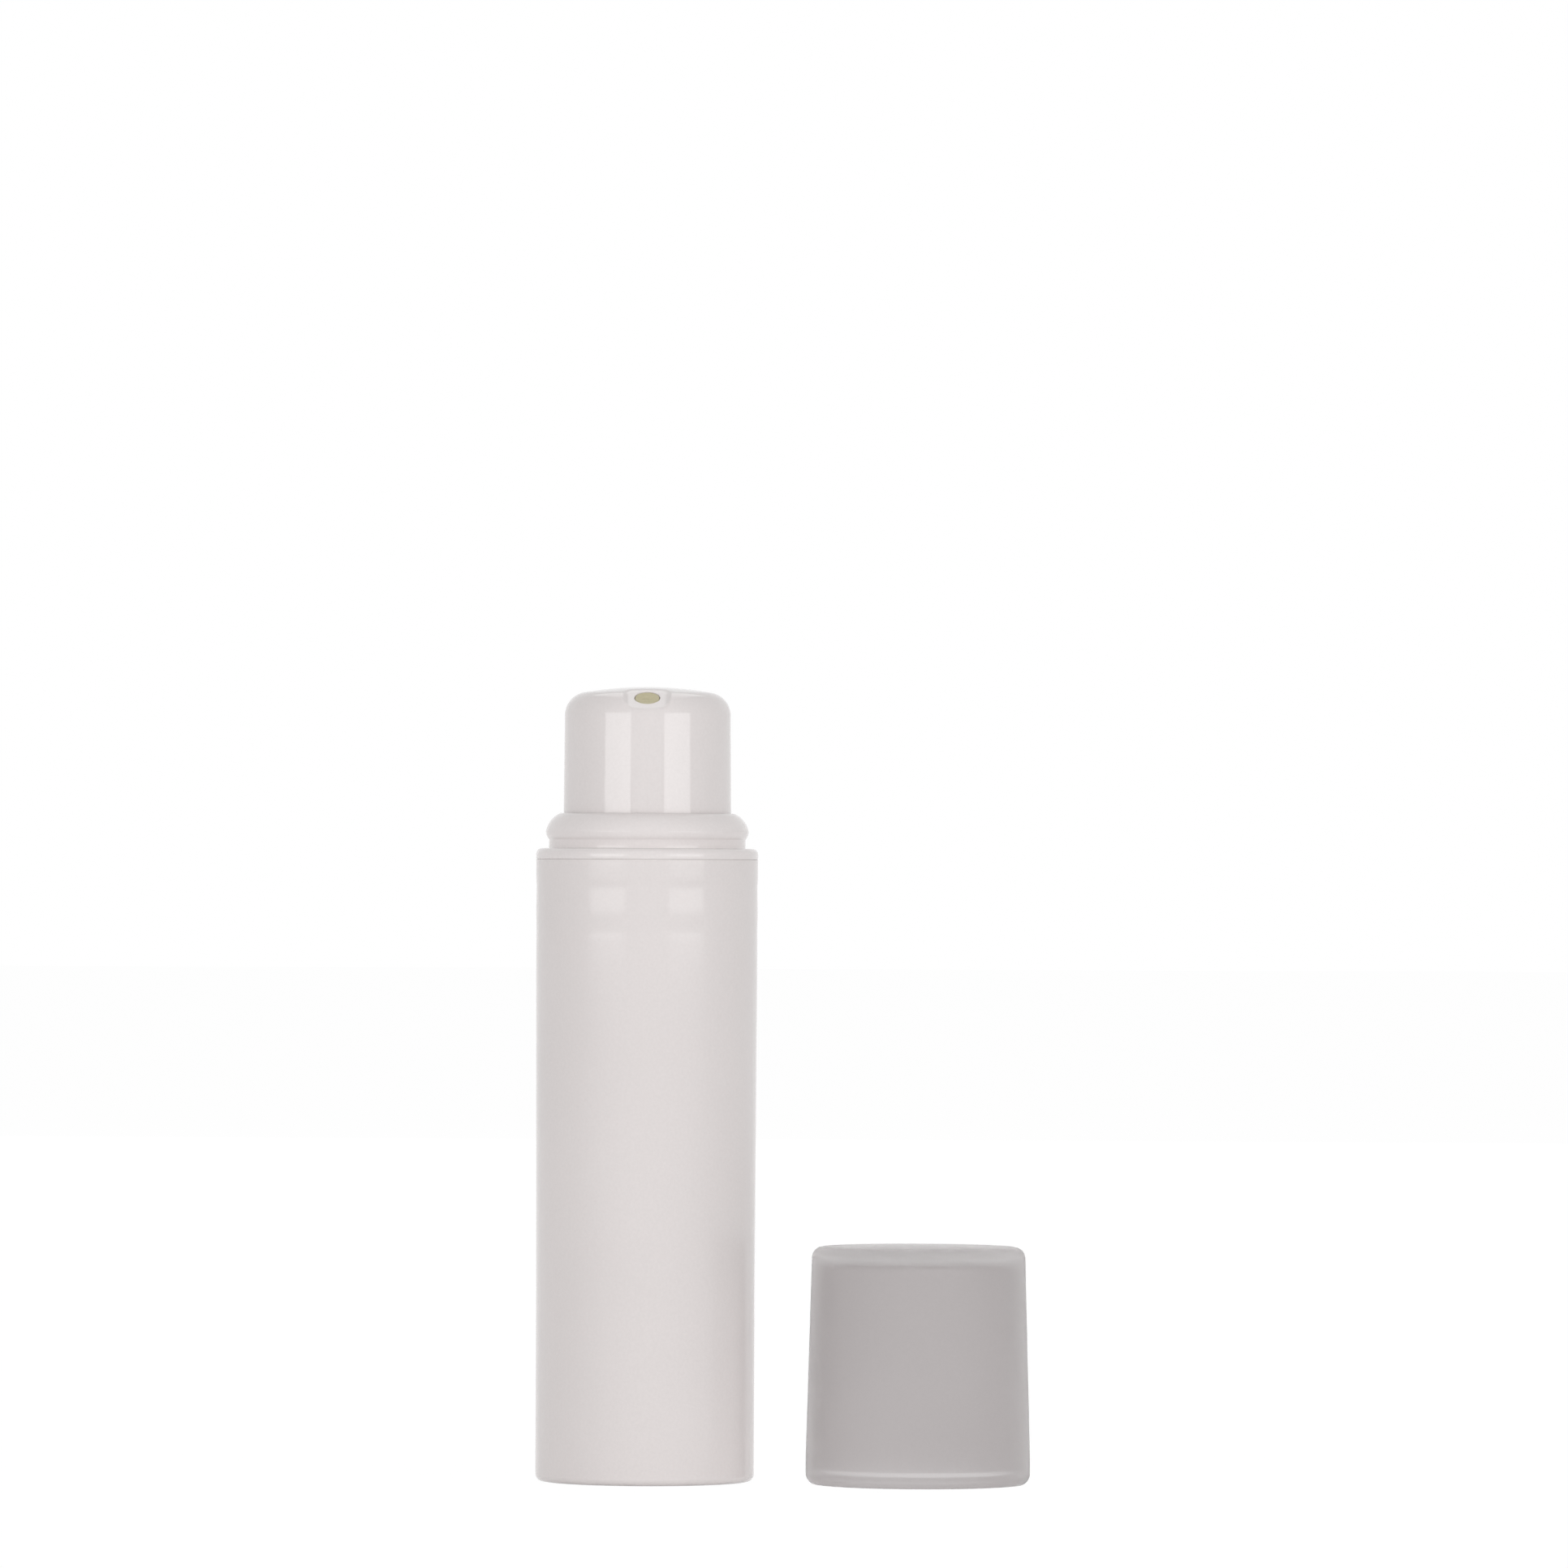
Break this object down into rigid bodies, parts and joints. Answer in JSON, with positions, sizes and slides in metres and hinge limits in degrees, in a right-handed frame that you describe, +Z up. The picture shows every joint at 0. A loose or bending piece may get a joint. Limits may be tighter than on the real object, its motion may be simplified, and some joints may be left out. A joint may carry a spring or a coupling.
{
  "type": "airless pump bottle",
  "caption": "Slim white airless pump bottle with a press button, sloped outlet, rising follower piston and a translucent overcap standing beside it.",
  "frame": {"origin": "centre of the bottle's base, on the surface it stands on", "axes": "+Z up along the bottle, the outlet faces -Y, the taken-off overcap stands on the +X side"},
  "size_m": [0.0567, 0.0292, 0.0908],
  "materials": {
    "container_pp": "smooth white polypropylene, soft gloss",
    "collar_pp": "smooth white polypropylene",
    "button_pp": "polished white polypropylene",
    "cap_pp": "natural translucent polypropylene",
    "inner_pp": "natural polypropylene, as moulded",
    "seal_pe": "waxy natural polyethylene",
    "soft_insert": "soft beige elastomer",
    "gasket_foam": "expanded polyethylene",
    "spring_steel": "drawn stainless spring wire",
    "ball_steel": "polished stainless ball"
  },
  "bodies": {
    "bottle": {"container": "container_pp", "pump_collar": "collar_pp", "housing_gasket": "gasket_foam", "pump_housing": "inner_pp", "stem_guide": "inner_pp", "return_spring": "spring_steel"},
    "follower": {"follower_piston": "seal_pe"},
    "ball": {"inlet_ball": "ball_steel"},
    "stem_body": {"stem": "inner_pp", "valve_rod": "inner_pp"},
    "seal": {"pump_piston": "seal_pe"},
    "button": {"button_shell": "button_pp", "button_core": "inner_pp", "outlet_valve": "soft_insert"},
    "cap": {"overcap": "cap_pp"}
  },
  "joints": [
    {"name": "button_press", "type": "slide", "parent": "bottle", "child": "stem_body", "axis": [0, 0, -1], "range_m": [0, 0.0045], "stiffness_N_per_m": 1300, "springref_m": -0.006, "deforming": ["return_spring"]},
    {"name": "button_turn", "type": "hinge", "parent": "stem_body", "child": "button", "pos_m": [0, 0, 0.08], "axis": [0, 0, 1], "continuous": true},
    {"name": "seal_shift", "type": "slide", "parent": "stem_body", "child": "seal", "axis": [0, 0, 1], "range_m": [0, 0.0009]},
    {"name": "ball_lift", "type": "slide", "parent": "bottle", "child": "ball", "axis": [0, 0, 1], "range_m": [0, 0.0008]},
    {"name": "follower_rise", "type": "slide", "parent": "bottle", "child": "follower", "axis": [0, 0, 1], "range_m": [0, 0.049]},
    {"name": "cap_lift", "type": "slide", "parent": "bottle", "child": "cap", "axis": [0, 0, 1], "range_m": [0, 0.1]}
  ],
  "couplings": [
    {"joint": "seal_shift", "follows": "button_press", "ratio": 0.2}
  ]
}
